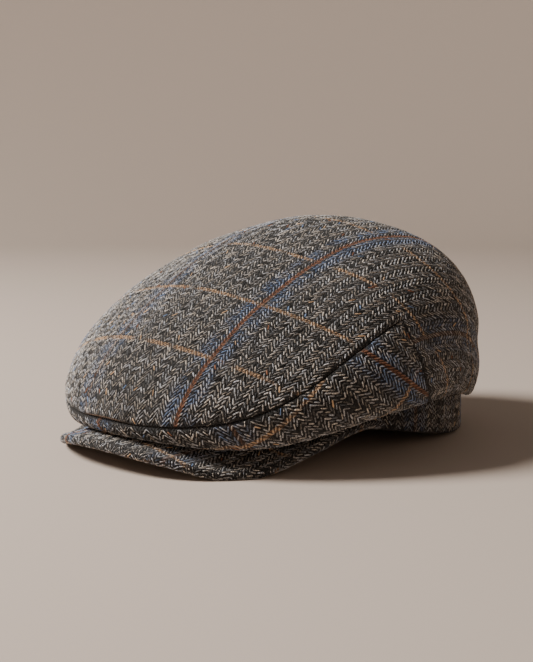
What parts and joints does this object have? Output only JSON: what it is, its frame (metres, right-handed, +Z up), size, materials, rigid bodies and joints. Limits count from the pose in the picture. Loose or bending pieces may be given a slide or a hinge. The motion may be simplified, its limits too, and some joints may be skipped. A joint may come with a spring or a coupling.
{
  "type": "flat cap",
  "caption": "Herringbone tweed flat cap with a windowpane check, a one-piece top, a wrapped side panel, a turned headband and a stiff curved peak, open below for the head.",
  "frame": {"origin": "middle of the cap's bounding box, on the surface it lies on", "axes": "+Z up, -Y towards the front where the peak points, +X to the wearer's left, the left and right halves mirror each other across the plane X = 0"},
  "size_m": [0.2404, 0.2732, 0.1285],
  "materials": {
    "tweed": "brushed wool herringbone tweed, grey and charcoal with flecks"
  },
  "bodies": {
    "root": {"top_panel": "tweed", "side_panel": "tweed", "headband": "tweed", "peak": "tweed"}
  },
  "joints": []
}
